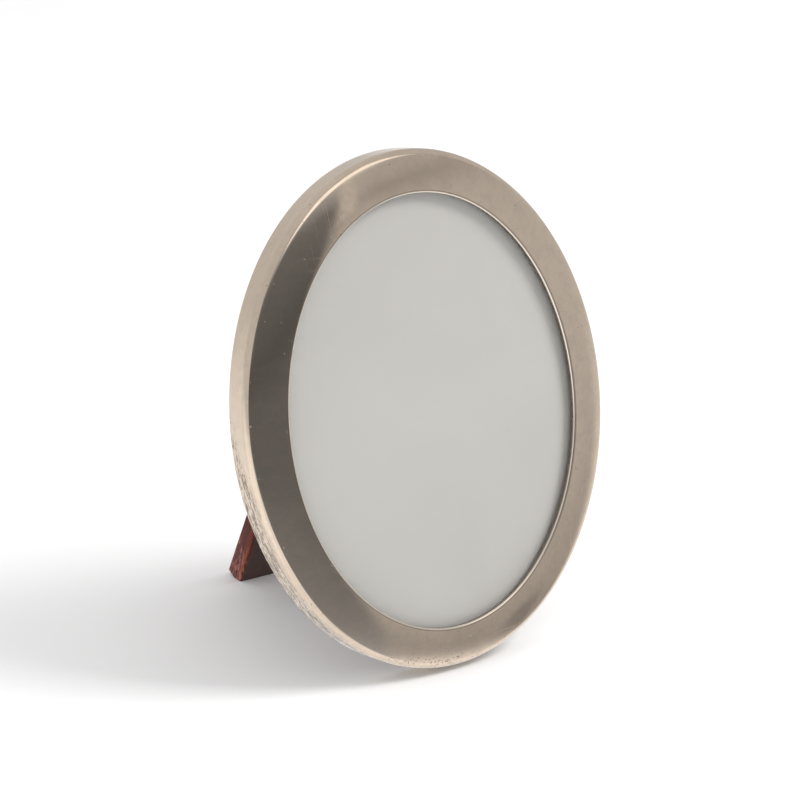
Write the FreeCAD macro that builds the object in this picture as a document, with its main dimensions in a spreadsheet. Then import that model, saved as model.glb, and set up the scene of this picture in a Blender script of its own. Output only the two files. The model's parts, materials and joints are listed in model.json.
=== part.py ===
import FreeCAD, Part
import os
import Sketcher
from FreeCAD import Vector

# Oval table photo frame
# A pressed silver mount over a wooden oval, glazed from behind, closed by a
# loose wooden back that four turn buttons hold, and propped by a hinged strut.
#
# Every piece is drawn in the frame's own plane: x to the right, y up the oval,
# z towards the viewer, zero at the flat rear. STAND then leans it back and
# puts it on the table: +Z up, front towards -Y, origin on the table in the
# middle of the space that the standing frame covers.

# The driving sizes: millimetres, and degrees where the note says so
SIZES = (
    ("half_height", 95.0, "half the oval's height over the silver"),
    ("half_width", 75.0, "half the oval's width over the silver"),
    ("ring_width", 15.6, "silver border, rim to sight edge"),
    ("wall_height", 11.8, "side wall, rear to where it would meet the face"),
    ("face_rise", 4.6, "how much further forward the sight edge lies"),
    ("face_dome", 0.5, "crown of the face between rim and sight edge"),
    ("shoulder_radius", 3.6, "rounding between side wall and face"),
    ("lip_radius", 0.5, "rounding where the silver turns in at the sight edge"),
    ("lip_depth", 2.2, "turned-in lip, sight edge to glass"),
    ("sheet", 0.6, "thickness of the silver"),
    ("flange_width", 2.6, "silver turned over on the rear"),
    ("rebate_width", 4.0, "how far the glass reaches under the face"),
    ("glass_thick", 2.0, "glass"),
    ("card_thick", 0.6, "picture card"),
    ("board_thick", 3.0, "backing board"),
    ("pane_clearance", 0.4, "play round the glass, card and board"),
    ("back_clearance", 0.3, "play round and before the wooden back"),
    ("back_chamfer", 0.6, "bevel round the wooden back's outer edge"),
    ("lean", 13.0, "degrees that the face leans back"),
    ("strut_rake", 24.2, "degrees between the open strut and the vertical"),
    ("hinge_height", 54.0, "hinge axis above the oval's middle"),
    ("strut_thick", 9.6, "strut board"),
    ("strut_foot_width", 61.6, "strut across its foot"),
    ("strut_top_width", 42.0, "strut across its top"),
    ("strut_edge", 1.2, "rounding along the strut's long edges"),
    ("foot_flat", 4.5, "depth of the level facet under the foot"),
    ("leaf_thick", 1.0, "hinge leaf"),
    ("leaf_height", 10.0, "hinge leaf, axis to far edge"),
    ("leaf_gap", 0.4, "space between the leaves when they are parallel"),
    ("hinge_width", 36.0, "hinge across"),
    ("knuckle_gap", 0.3, "space between neighbouring knuckles"),
    ("hinge_pin_radius", 0.6, "hinge pin"),
    ("running_fit", 0.05, "radial play of a turning fit"),
    ("moving_clearance", 0.3, "space round what moves"),
    ("leaf_screw_radius", 0.8, "shank of a hinge screw"),
    ("leaf_screw_head", 1.7, "head radius of a hinge screw"),
    ("leaf_screw_length", 5.0, "hinge screw, head face to point"),
    ("leaf_screw_spread", 12.0, "hinge screws, centre to centre"),
    ("slot_width", 0.5, "screw slot across"),
    ("slot_depth", 0.4, "screw slot deep"),
    ("button_inset", 5.6, "turn button's pivot from the rim"),
    ("button_reach", 12.5, "turn button, pivot to tip"),
    ("button_pivot_half", 3.4, "turn button's half width at its pivot"),
    ("button_tip_half", 2.5, "turn button's half width at its tip"),
    ("button_thick", 1.2, "turn button"),
    ("button_screw_radius", 1.1, "shank of a turn button's screw"),
    ("button_screw_head", 2.3, "head radius of a turn button's screw"),
    ("button_screw_crown", 1.3, "height of that domed head"),
    ("button_screw_bite", 7.0, "how deep that screw goes into the wood"),
    ("nail_radius", 0.45, "shank of a pin that holds the silver"),
    ("nail_head", 0.95, "head radius of that pin"),
    ("nail_crown", 0.45, "height of that pin's domed head"),
    ("nail_bite", 6.0, "how deep that pin goes in"),
    ("cut_overrun", 1.0, "how far a cutter runs past what it cuts"),
)

# Sections of the face as shares of the ring's width; the last lies past the
# sight edge, where the opening trims it
FACE_SHARES = (0.0, 0.55, 1.1)
BUTTON_ANGLES = (30, 150, 210, 330)
NAIL_ANGLES = (0, 60, 120, 180, 240, 300)
LEAF_SCREW_SHARES = (-1, 0, 1)
KNUCKLE_COUNT = 5

doc = FreeCAD.newDocument("photo_frame")
sheet = doc.addObject("Spreadsheet::Sheet", "sizes")
for row, (name, value, note) in enumerate(SIZES, start=1):
    sheet.set("A%d" % row, note)
    sheet.set("B%d" % row, str(value))
    sheet.setAlias("B%d" % row, name)
ORIGIN_CELL = "B%d" % (len(SIZES) + 1)
sheet.set(ORIGIN_CELL, "0")
sheet.setAlias(ORIGIN_CELL, "set_back")
doc.recompute()

# Lengths and angles that follow from the driving sizes
HALF_LEAF_GAP = "(sizes.leaf_gap / 2)"
KNUCKLE_RADIUS = "(sizes.leaf_thick + sizes.leaf_gap / 2)"
GROOVE_RADIUS = "(" + KNUCKLE_RADIUS + " + sizes.moving_clearance)"
KNUCKLE_PITCH = "((sizes.hinge_width + sizes.knuckle_gap) / %d)" % KNUCKLE_COUNT
OPEN_ANGLE = "(sizes.lean + sizes.strut_rake)"
SEAT = "(sizes.wall_height + sizes.face_rise - sizes.lip_depth)"
CARD_FRONT = "(" + SEAT + " - sizes.glass_thick)"
BOARD_FRONT = "(" + CARD_FRONT + " - sizes.card_thick)"
BACK_FRONT = "(" + BOARD_FRONT + " - sizes.board_thick - sizes.back_clearance)"
REBATE_INSET = "(sizes.ring_width - sizes.rebate_width)"
AXIS_ABOVE_TABLE = ("((sizes.half_height + sizes.hinge_height) * cos(sizes.lean)"
                    " - " + HALF_LEAF_GAP + " * sin(sizes.lean))")
STRUT_REACH = ("((" + AXIS_ABOVE_TABLE + " + " + HALF_LEAF_GAP + " * sin(sizes.strut_rake))"
               " / cos(sizes.strut_rake))")
STRUT_REAR = "(" + HALF_LEAF_GAP + " + sizes.strut_thick)"
STRUT_END = "(" + STRUT_REACH + " + sizes.foot_flat * sin(sizes.strut_rake))"


def turned(axis, angle):
    """A placement that only turns, as expression text."""
    return "placement(vector(0; 0; 0); rotation(vector(%s); %s))" % (axis, angle)


def moved(x, y, z):
    """A placement that only moves, as expression text."""
    return "placement(vector(%s; %s; %s); rotation(vector(0; 0; 1); 0))" % (x, y, z)


STAND = moved("0", "sizes.set_back", "sizes.half_height * cos(sizes.lean)")
STAND = STAND + " * " + turned("1; 0; 0", "90 - sizes.lean")
AT_HINGE = STAND + " * " + moved("0", "sizes.hinge_height", "-1 * " + HALF_LEAF_GAP)
STRUT_OPEN = AT_HINGE + " * " + turned("1; 0; 0", OPEN_ANGLE)
OTHER_LEAF = AT_HINGE + " * " + turned("0; 1; 0", "180")


def bind(thing, **links):
    """Bind properties of an object to sizes in the sheet."""
    for prop, text in links.items():
        thing.setExpression(prop, text)
    return thing


def put(thing, text):
    thing.setExpression("Placement", text)
    return thing


def new_body(name):
    body = doc.addObject("PartDesign::Body", name)
    body.Label = name
    return body


def new_sketch(body, name, height="0", plane="XY_Plane"):
    """A sketch on one of the body's own planes, lifted along its normal."""
    sketch = body.newObject("Sketcher::SketchObject", name)
    support = [found for found in body.Origin.OriginFeatures if found.Role == plane]
    sketch.AttachmentSupport = [(support[0], "")]
    sketch.MapMode = "FlatFace"
    sketch.setExpression("AttachmentOffset.Base.z", height)
    return sketch


def oval_sketch(body, name, height, *insets):
    """One or more ovals, each the rim drawn smaller by its inset."""
    sketch = new_sketch(body, name, height)
    for inset in insets:
        tall = sheet.half_height
        wide = sheet.half_width
        number = sketch.addGeometry(Part.Ellipse(Vector(0, tall, 0), Vector(wide, 0, 0), Vector(0, 0, 0)))
        sketch.exposeInternalGeometry(number)
        sketch.addConstraint(Sketcher.Constraint("Coincident", number, 3, -1, 1))
        sketch.addConstraint(Sketcher.Constraint("Vertical", number + 1))
        for axis, half in ((1, "half_height"), (2, "half_width")):
            size = 2 * getattr(sheet, half)
            bound = sketch.addConstraint(Sketcher.Constraint("Distance", number + axis, size))
            sketch.setExpression("Constraints[%d]" % bound, "2 * (sizes.%s - %s)" % (half, inset))
    return sketch


def polygon_sketch(body, name, plane, corners, height="0"):
    """A closed outline of straight edges; every corner is bound to the sheet."""
    sketch = new_sketch(body, name, height, plane)
    start = [Vector(doc_value(x), doc_value(y), 0) for x, y in corners]
    for number, corner in enumerate(start):
        sketch.addGeometry(Part.LineSegment(corner, start[(number + 1) % len(start)]))
    for number in range(len(start)):
        following = (number + 1) % len(start)
        sketch.addConstraint(Sketcher.Constraint("Coincident", number, 2, following, 1))
    for number, (x, y) in enumerate(corners):
        for kind, text, value in (("DistanceX", x, start[number].x), ("DistanceY", y, start[number].y)):
            bound = sketch.addConstraint(Sketcher.Constraint(kind, -1, 1, number, 1, value))
            sketch.setExpression("Constraints[%d]" % bound, text)
    return sketch


def circle_sketch(body, name, height, places, radius):
    """Equal circles at places that are bound to the sheet."""
    sketch = new_sketch(body, name, height)
    size = doc_value(radius)
    for number, (x, y) in enumerate(places):
        centre = Vector(doc_value(x), doc_value(y), 0)
        sketch.addGeometry(Part.Circle(centre, Vector(0, 0, 1), size))
        for kind, text, value in (("DistanceX", x, centre.x), ("DistanceY", y, centre.y)):
            bound = sketch.addConstraint(Sketcher.Constraint(kind, -1, 1, number, 3, value))
            sketch.setExpression("Constraints[%d]" % bound, text)
        bound = sketch.addConstraint(Sketcher.Constraint("Radius", number, size))
        sketch.setExpression("Constraints[%d]" % bound, radius)
    return sketch


def doc_value(text):
    """The number that an expression gives now, to start a sketch near its place."""
    return float(sheet.evalExpression(text.replace("sizes.", "")))


def pad(body, name, sketch, length):
    feature = body.newObject("PartDesign::Pad", name)
    feature.Profile = sketch
    return bind(feature, Length=length)


def pocket(body, name, sketch, length):
    """Cut forwards from the sketch, towards the viewer."""
    feature = body.newObject("PartDesign::Pocket", name)
    feature.Profile = sketch
    feature.Reversed = True
    return bind(feature, Length=length)


def edges_where(feature, test):
    shape = feature.Shape
    return ["Edge%d" % (number + 1) for number, edge in enumerate(shape.Edges) if test(edge)]


def round_edges(body, name, kind, feature, test, **size):
    doc.recompute()
    names = edges_where(feature, test)
    if not names:
        raise RuntimeError("no edge to round for " + name)
    rounded = body.newObject("PartDesign::" + kind, name)
    rounded.Base = (feature, names)
    return bind(rounded, **size)


def level_at(edge, height, reach):
    """Is this the oval edge at this height, at least this far from the middle?"""
    box = edge.BoundBox
    near = sheet.sheet / 2
    return abs(box.ZMin - height) < near and abs(box.ZMax - height) < near and box.YMax > reach


def add_form(body, inset):
    """The mount's outer form, or the same form one sheet smaller."""
    rim = oval_sketch(body, "RimOutline", "0", inset)
    pad(body, "SideWall", rim, "sizes.wall_height - " + inset)
    sections = []
    for share in FACE_SHARES:
        crown = 4 * share * (1 - share)
        height = ("sizes.wall_height - %s + %s * sizes.face_rise + %s * sizes.face_dome"
                  % (inset, share, crown))
        across = "(%s + %s * sizes.ring_width)" % (inset, share)
        sections.append(oval_sketch(body, "FaceSection", height, across))
    face = body.newObject("PartDesign::AdditiveLoft", "Face")
    face.Profile = sections[0]
    face.Sections = sections[1:]
    step = doc_value("sizes.wall_height - " + inset)
    reach = doc_value("sizes.half_height - sizes.ring_width / 2")
    return round_edges(body, "Shoulder", "Fillet", face, lambda edge: level_at(edge, step, reach),
                       Radius="sizes.shoulder_radius - " + inset)


def around(angle, inset):
    """A place on an oval drawn smaller than the rim by this inset."""
    x = "(sizes.half_width - %s) * cos(%d)" % (inset, angle)
    y = "(sizes.half_height - %s) * sin(%d)" % (inset, angle)
    return x, y


NAIL_INSET = "(sizes.flange_width / 2)"
NAIL_PLACES = [around(angle, NAIL_INSET) for angle in NAIL_ANGLES]
BUTTON_PLACES = [around(angle, "sizes.button_inset") for angle in BUTTON_ANGLES]


# The silver mount
def make_mount():
    """Pressed silver: side wall, rounded shoulder, face, turned-in lip and rear flange."""
    form = new_body("mount_form")
    add_form(form, "0")
    sight = oval_sketch(form, "SightOutline", "0", "sizes.ring_width")
    opening = pocket(form, "SightOpening", sight, "2 * (sizes.wall_height + sizes.face_rise)")
    top = doc_value("sizes.wall_height + sizes.face_rise")
    round_edges(form, "SightEdge", "Fillet", opening, lambda edge: level_at(edge, top, 0),
                Radius="sizes.lip_radius")
    holes = circle_sketch(form, "NailPlaces", "0", NAIL_PLACES, "sizes.nail_radius")
    pocket(form, "NailHoles", holes, "sizes.sheet")
    filling = new_body("mount_filling")
    add_filling(filling)
    mount = doc.addObject("Part::Cut", "silver_mount")
    mount.Base = form
    mount.Tool = filling
    return put(mount, STAND)


def add_filling(body):
    """What the silver is pressed over, still solid: a sheet smaller all round."""
    add_form(body, "sizes.sheet")
    ring = oval_sketch(body, "FlangeOutline", "0", "0", "sizes.flange_width")
    pocket(body, "FlangeRecess", ring, "sizes.sheet")
    lip = oval_sketch(body, "LipOutline", SEAT, "(sizes.ring_width - sizes.sheet)")
    return pocket(body, "LipRoom", lip, "sizes.lip_depth + sizes.face_rise")


# The wooden core and what lies in it
def make_core():
    """Wooden oval under the silver, rebated from behind for the glass and the back."""
    core = new_body("frame_core")
    add_filling(core)
    rebate = oval_sketch(core, "RebateOutline", "0", REBATE_INSET)
    pocket(core, "Rebate", rebate, SEAT)
    nails = circle_sketch(core, "NailPlaces", "sizes.sheet", NAIL_PLACES, "sizes.nail_radius")
    pocket(core, "NailHoles", nails, "sizes.nail_bite - sizes.sheet")
    screws = circle_sketch(core, "ScrewPlaces", "0", BUTTON_PLACES, "sizes.button_screw_radius")
    pocket(core, "ScrewHoles", screws, "sizes.button_screw_bite")
    return put(core, STAND)


def make_sheet_piece(name, front, thickness, clearance):
    """A flat oval that lies in the rebate with its front at this height."""
    piece = new_body(name)
    inset = "(" + REBATE_INSET + " + " + clearance + ")"
    outline = oval_sketch(piece, "Outline", front + " - " + thickness, inset)
    pad(piece, "Thickness", outline, thickness)
    return piece


def make_pane(name, front, thickness):
    return put(make_sheet_piece(name, front, thickness, "sizes.pane_clearance"), STAND)


def make_back():
    """Loose wooden back, let in for the hinge leaf and its knuckles."""
    blank = make_sheet_piece("back_blank", BACK_FRONT, BACK_FRONT, "sizes.back_clearance")
    thickness = blank.Tip
    round_edges(blank, "RearBevel", "Chamfer", thickness, lambda edge: level_at(edge, 0, 0),
                Size="sizes.back_chamfer")
    cutters = hinge_room("back_room", "0", "sizes.leaf_thick")
    put(cutters, moved("0", "sizes.hinge_height", "-1 * " + HALF_LEAF_GAP))
    back = doc.addObject("Part::Cut", "back_panel")
    back.Base = blank
    back.Tool = cutters
    return put(back, STAND)


# The hinge; each leaf is drawn about the hinge axis, its plate up from it and
# on the side away from the other leaf
def along_x(name, x, length, radius, y="0", z="0"):
    """A round bar along x that starts at x."""
    bar = doc.addObject("Part::Cylinder", name)
    bind(bar, Radius=radius, Height=length)
    return put(bar, moved(x, y, z) + " * " + turned("0; 1; 0", "90"))


def block(name, corner, size):
    """A box from its low corner."""
    box = doc.addObject("Part::Box", name)
    bind(box, Length=size[0], Width=size[1], Height=size[2])
    return put(box, moved(*corner))


def joined(name, pieces):
    whole = doc.addObject("Part::MultiFuse", name)
    whole.Shapes = pieces
    return whole


def hinge_room(name, near, depth):
    """What a leaf needs cut away: its plate, its knuckles and its screws."""
    left = "sizes.hinge_width / -2"
    plate = block(name + "_plate", (left, "0", near), ("sizes.hinge_width", "sizes.leaf_height",
                  depth + " + " + HALF_LEAF_GAP + " - " + near))
    groove = along_x(name + "_groove", left + " - sizes.moving_clearance",
                     "sizes.hinge_width + 2 * sizes.moving_clearance", GROOVE_RADIUS)
    rooms = [plate, groove]
    for share in LEAF_SCREW_SHARES:
        hole = doc.addObject("Part::Cylinder", name + "_screw")
        bind(hole, Radius="sizes.leaf_screw_radius", Height="sizes.leaf_screw_length")
        rooms.append(put(hole, leaf_screw_place(share)))
    return joined(name, rooms)


def leaf_screw_place(share):
    """Where a hinge screw's head lies on its leaf."""
    height = "(" + GROOVE_RADIUS + " + sizes.leaf_height) / 2"
    return moved("%d * sizes.leaf_screw_spread" % share, height, HALF_LEAF_GAP)


def make_leaf(name, knuckles, play, place):
    """A brass leaf with its own knuckles, bored for the pin."""
    left = "sizes.hinge_width / -2"
    plate = block(name + "_plate", (left, GROOVE_RADIUS, HALF_LEAF_GAP),
                  ("sizes.hinge_width", "sizes.leaf_height - " + GROOVE_RADIUS, "sizes.leaf_thick"))
    pieces = [plate]
    for knuckle in knuckles:
        start = left + " + %d * %s" % (knuckle, KNUCKLE_PITCH)
        length = KNUCKLE_PITCH + " - sizes.knuckle_gap"
        pieces.append(along_x(name + "_knuckle", start, length, KNUCKLE_RADIUS))
        pieces.append(block(name + "_root", (start, "0", HALF_LEAF_GAP),
                            (length, GROOVE_RADIUS, "sizes.leaf_thick")))
    holes = [along_x(name + "_bore", left, "sizes.hinge_width", "sizes.hinge_pin_radius + " + play)]
    for share in LEAF_SCREW_SHARES:
        sink = doc.addObject("Part::Cone", name + "_sink")
        bind(sink, Radius1="sizes.leaf_screw_head", Radius2="sizes.leaf_screw_radius",
             Height="sizes.leaf_thick")
        holes.append(put(sink, leaf_screw_place(share)))
    leaf = doc.addObject("Part::Cut", name)
    leaf.Base = joined(name + "_blank", pieces)
    leaf.Tool = joined(name + "_holes", holes)
    return put(leaf, place)


def make_hinge_pin():
    pin = along_x("hinge_pin_bar", "sizes.hinge_width / -2", "sizes.hinge_width", "sizes.hinge_pin_radius")
    whole = doc.addObject("Part::Compound", "hinge_pin")
    whole.Links = [pin]
    return put(whole, AT_HINGE)


# The strut, drawn about the hinge axis as it hangs when folded flat
def make_strut():
    """Wooden strut: bevelled top that lands on the back, level facet under the foot."""
    blank = new_body("strut_blank")
    bevel_foot = "(0 - %s * tan(%s / 2))" % (HALF_LEAF_GAP, OPEN_ANGLE)
    bevel_top = "((%s * cos(%s) - %s) / sin(%s))" % (STRUT_REAR, OPEN_ANGLE, HALF_LEAF_GAP, OPEN_ANGLE)
    flat_rear = "(%s + sizes.foot_flat * cos(sizes.strut_rake))" % HALF_LEAF_GAP
    side = (
        (bevel_foot, "-1 * " + HALF_LEAF_GAP),
        (bevel_top, "-1 * " + STRUT_REAR),
        ("-1 * " + STRUT_END, "-1 * " + STRUT_REAR),
        ("-1 * " + STRUT_END, "-1 * " + flat_rear),
        ("-1 * " + STRUT_REACH, "-1 * " + HALF_LEAF_GAP),
    )
    board = pad(blank, "Board", polygon_sketch(blank, "SideOutline", "YZ_Plane", side),
                "sizes.strut_foot_width")
    board.SideType = "Symmetric"
    for hand in ("", "-1 * "):
        edge = (
            (hand + "sizes.strut_foot_width / 2", "-1 * " + STRUT_END),
            (hand + "(sizes.strut_foot_width / 2 + sizes.cut_overrun)", "-1 * " + STRUT_END),
            (hand + "(sizes.strut_foot_width / 2 + sizes.cut_overrun)", bevel_top),
            (hand + "sizes.strut_top_width / 2", bevel_top),
        )
        outline = polygon_sketch(blank, "TaperOutline", "XY_Plane", edge, "-1 * " + STRUT_REAR)
        taper = pocket(blank, "Taper", outline, "sizes.strut_thick")
    long_edge = doc_value(STRUT_REACH) / 2
    round_edges(blank, "LongEdges", "Fillet", taper, lambda found: found.Length > long_edge,
                Radius="sizes.strut_edge")
    room = hinge_room("strut_room", "-1 * sizes.cut_overrun", "sizes.leaf_thick")
    put(room, turned("1; 0; 0", "-1 * " + OPEN_ANGLE) + " * " + turned("0; 1; 0", "180"))
    strut = doc.addObject("Part::Cut", "strut")
    strut.Base = blank
    strut.Tool = room
    return put(strut, STRUT_OPEN)


# Screws and pins; each is drawn with its head's seat at zero and its shank
# pointing forwards into the wood
def shank(name, start, length, radius):
    """A straight shank with a point as long as it is thick."""
    bar = doc.addObject("Part::Cylinder", name + "_shank")
    bind(bar, Radius=radius, Height="%s - %s - 2 * %s" % (length, start, radius))
    put(bar, moved("0", "0", start))
    point = doc.addObject("Part::Cone", name + "_point")
    bind(point, Radius1=radius, Radius2=radius + " / 4", Height="2 * " + radius)
    put(point, moved("0", "0", "%s - 2 * %s" % (length, radius)))
    return [bar, point]


def domed_head(name, radius, crown):
    """A low dome behind the seat: a short bar met by a large ball."""
    bar = doc.addObject("Part::Cylinder", name + "_head")
    bind(bar, Radius=radius, Height=crown)
    put(bar, moved("0", "0", "-1 * " + crown))
    ball_radius = "((%s * %s + %s * %s) / (2 * %s))" % (radius, radius, crown, crown, crown)
    ball = doc.addObject("Part::Sphere", name + "_ball")
    bind(ball, Radius=ball_radius)
    put(ball, moved("0", "0", ball_radius + " - " + crown))
    dome = doc.addObject("Part::Common", name + "_dome")
    dome.Base = bar
    dome.Tool = ball
    return dome


def slotted(name, solid, head, top):
    """The same screw with a slot across the top of its head."""
    slot = block(name + "_slot", ("-1 * " + head, "sizes.slot_width / -2", top + " - sizes.cut_overrun"),
                 ("2 * " + head, "sizes.slot_width", "sizes.cut_overrun + sizes.slot_depth"))
    cut = doc.addObject("Part::Cut", name + "_cut")
    cut.Base = solid
    cut.Tool = slot
    return cut


def group(name, pieces, place):
    """Identical fasteners that share a node."""
    whole = doc.addObject("Part::Compound", name)
    whole.Links = pieces
    return put(whole, place)


def make_leaf_screws(name, place):
    screws = []
    for share in LEAF_SCREW_SHARES:
        head = doc.addObject("Part::Cone", name + "_head")
        bind(head, Radius1="sizes.leaf_screw_head", Radius2="sizes.leaf_screw_radius",
             Height="sizes.leaf_thick")
        bars = shank(name, "sizes.leaf_thick", "sizes.leaf_screw_length", "sizes.leaf_screw_radius")
        screw = slotted(name, joined(name + "_solid", [head] + bars), "sizes.leaf_screw_head", "0")
        screws.append(put(screw, leaf_screw_place(share)))
    return group(name, screws, place)


def make_button_screws():
    name = "turn_button_screws"
    seat = "(2 * sizes.moving_clearance + sizes.button_thick)"
    screws = []
    for x, y in BUTTON_PLACES:
        head = domed_head(name, "sizes.button_screw_head", "sizes.button_screw_crown")
        bars = shank(name, "0", seat + " + sizes.button_screw_bite", "sizes.button_screw_radius")
        solid = joined(name + "_solid", [head] + bars)
        screw = slotted(name, solid, "sizes.button_screw_head", "-1 * sizes.button_screw_crown")
        screws.append(put(screw, moved(x, y, "-1 * " + seat)))
    return group(name, screws, STAND)


def make_mount_pins():
    name = "mount_pins"
    pins = []
    for x, y in NAIL_PLACES:
        head = domed_head(name, "sizes.nail_head", "sizes.nail_crown")
        bars = shank(name, "0", "sizes.nail_bite", "sizes.nail_radius")
        pins.append(put(joined(name + "_solid", [head] + bars), moved(x, y, "0")))
    return group(name, pins, STAND)


# The turn buttons, each drawn about its pivot with its tip along x
def make_button(number, angle):
    """Flat brass turn button: round at the pivot, narrower at the tip."""
    name = "turn_button_%d" % number
    blank = new_body(name)
    tip = "(sizes.button_reach - sizes.button_tip_half)"
    heel = circle_sketch(blank, "PivotEnd", "0", [("0", "0")], "sizes.button_pivot_half")
    pad(blank, "Pivot", heel, "sizes.button_thick")
    toe = circle_sketch(blank, "TipEnd", "0", [(tip, "0")], "sizes.button_tip_half")
    pad(blank, "Tip", toe, "sizes.button_thick")
    blade = (
        ("0", "-1 * sizes.button_pivot_half"),
        (tip, "-1 * sizes.button_tip_half"),
        (tip, "sizes.button_tip_half"),
        ("0", "sizes.button_pivot_half"),
    )
    pad(blank, "Blade", polygon_sketch(blank, "BladeOutline", "XY_Plane", blade), "sizes.button_thick")
    bore = circle_sketch(blank, "BoreOutline", "0", [("0", "0")],
                         "sizes.button_screw_radius + sizes.running_fit")
    pocket(blank, "Bore", bore, "sizes.button_thick")
    x, y = around(angle, "sizes.button_inset")
    tall = "(sizes.half_height - sizes.button_inset)"
    wide = "(sizes.half_width - sizes.button_inset)"
    inward = "atan2(-1 * %s * sin(%d); -1 * %s * cos(%d))" % (wide, angle, tall, angle)
    rear = "-1 * (sizes.moving_clearance + sizes.button_thick)"
    return put(blank, STAND + " * " + moved(x, y, rear) + " * " + turned("0; 0; 1", inward))


NODES = [
    make_mount(),
    make_core(),
    make_pane("glass_pane", SEAT, "sizes.glass_thick"),
    make_pane("picture_card", CARD_FRONT, "sizes.card_thick"),
    make_pane("backing_board", BOARD_FRONT, "sizes.board_thick"),
    make_back(),
    make_strut(),
    make_leaf("hinge_leaf_back", range(0, KNUCKLE_COUNT, 2), "0", AT_HINGE),
    make_leaf("hinge_leaf_strut", range(1, KNUCKLE_COUNT, 2), "sizes.running_fit", OTHER_LEAF),
    make_hinge_pin(),
    make_leaf_screws("hinge_screws_back", AT_HINGE),
    make_leaf_screws("hinge_screws_strut", OTHER_LEAF),
    make_button_screws(),
    make_mount_pins(),
]
NODES += [make_button(number, angle) for number, angle in enumerate(BUTTON_ANGLES, start=1)]
doc.recompute()

# The origin goes to the middle of what the standing frame covers
boxes = [node.Shape.optimalBoundingBox(False, False) for node in NODES]
front = min(box.YMin for box in boxes)
rear = max(box.YMax for box in boxes)
sheet.set(ORIGIN_CELL, str(-(front + rear) / 2))
doc.recompute()

for thing in doc.Objects:
    if "Invalid" in thing.State or "Error" in thing.State:
        raise RuntimeError("%s failed: %s" % (thing.Name, thing.State))
for node in NODES:
    if node.Shape.isNull() or not node.Shape.isValid():
        raise RuntimeError(node.Label + " has no valid shape")

os.makedirs("parts", exist_ok=True)
for node in NODES:
    node.Shape.exportStep("parts/%s.step" % node.Label)
    box = node.Shape.optimalBoundingBox(False, False)
    print("%-20s %2d solids  %9.1f mm3  x %.1f to %.1f  y %.1f to %.1f  z %.1f to %.1f" % (
        node.Label, len(node.Shape.Solids), node.Shape.Volume,
        box.XMin, box.XMax, box.YMin, box.YMax, box.ZMin, box.ZMax))
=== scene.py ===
# %% [markdown]
# An oval table photo frame
#
# The real thing is a wooden oval with thin silver pressed over it, glazed from
# behind and propped by a hinged wooden strut. This lesson dresses the packed
# model: it keeps the places and sizes of every piece, builds the surfaces that
# show more finely, and gives each one a finish made of nodes.

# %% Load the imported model
import json
import math

import bmesh
import bpy
from mathutils import Matrix, Vector


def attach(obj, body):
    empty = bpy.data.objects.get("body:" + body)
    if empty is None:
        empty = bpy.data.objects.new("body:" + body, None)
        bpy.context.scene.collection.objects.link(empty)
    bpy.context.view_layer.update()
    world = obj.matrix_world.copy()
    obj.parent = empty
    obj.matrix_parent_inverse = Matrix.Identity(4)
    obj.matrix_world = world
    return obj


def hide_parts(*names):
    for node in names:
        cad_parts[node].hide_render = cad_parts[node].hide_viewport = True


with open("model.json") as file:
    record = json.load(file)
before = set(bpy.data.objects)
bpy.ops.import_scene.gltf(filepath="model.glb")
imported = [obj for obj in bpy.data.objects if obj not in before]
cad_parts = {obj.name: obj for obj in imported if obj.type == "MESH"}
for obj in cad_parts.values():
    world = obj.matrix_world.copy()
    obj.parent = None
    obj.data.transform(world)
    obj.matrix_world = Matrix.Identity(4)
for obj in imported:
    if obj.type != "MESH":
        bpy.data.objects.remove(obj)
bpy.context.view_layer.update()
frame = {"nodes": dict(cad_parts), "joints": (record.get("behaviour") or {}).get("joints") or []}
scene = bpy.context.scene

# %% [markdown]
# The frame leans back, so its pieces are easiest to describe lying flat: x to
# the right, y up the oval, z towards the viewer, with zero at the flat rear.
# One matrix then leans them back and stands them on the table. The hinge axis
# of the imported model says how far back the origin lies.

# %% Sizes of the real frame, in metres
MM = 0.001
HALF_HEIGHT = 95 * MM
HALF_WIDTH = 75 * MM
RING_WIDTH = 15.6 * MM
WALL_HEIGHT = 11.8 * MM
FACE_RISE = 4.6 * MM
FACE_DOME = 0.5 * MM
SHOULDER_RADIUS = 3.6 * MM
LIP_RADIUS = 0.7 * MM
LIP_DEPTH = 2.2 * MM
SEAT = WALL_HEIGHT + FACE_RISE - LIP_DEPTH
SHEET = 0.6 * MM
FLANGE_WIDTH = 2.6 * MM
HINGE_HEIGHT = 54 * MM
HALF_LEAF_GAP = 0.2 * MM
LEAN = math.radians(13)
RAKE = math.radians(24.2)

hinge = [joint for joint in frame["joints"] if joint["name"] == "strut_fold"][0]
HINGE_AXIS = Vector(hinge["pos_m"])
set_back = HINGE_AXIS.y - HINGE_HEIGHT * math.sin(LEAN) - HALF_LEAF_GAP * math.cos(LEAN)
STAND = Matrix.Translation((0, set_back, HALF_HEIGHT * math.cos(LEAN)))
STAND = STAND @ Matrix.Rotation(math.pi / 2 - LEAN, 4, "X")
print("the oval's middle lies %.2f mm before the origin" % (-set_back / MM))

# %% [markdown]
# A few small helpers carry the lesson. The first ones add nodes to any tree
# and fill their inputs with numbers or with other nodes' outputs. The others
# put things into the scene and turn a bare mesh into one whose faces all look
# outwards and are smooth between the sharp edges.

# %% Helpers for nodes and pieces


def add(tree, kind, inputs=None, **settings):
    """Add a node, choose its settings, then fill its inputs."""
    node = tree.nodes.new(kind)
    for name, value in settings.items():
        setattr(node, name, value)
    for name, value in (inputs or {}).items():
        socket = [found for found in node.inputs if found.name == name and found.enabled][0]
        if isinstance(value, bpy.types.Node):
            tree.links.new(out(value), socket)
        elif isinstance(value, bpy.types.NodeSocket):
            tree.links.new(value, socket)
        else:
            socket.default_value = value
    return node


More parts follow.
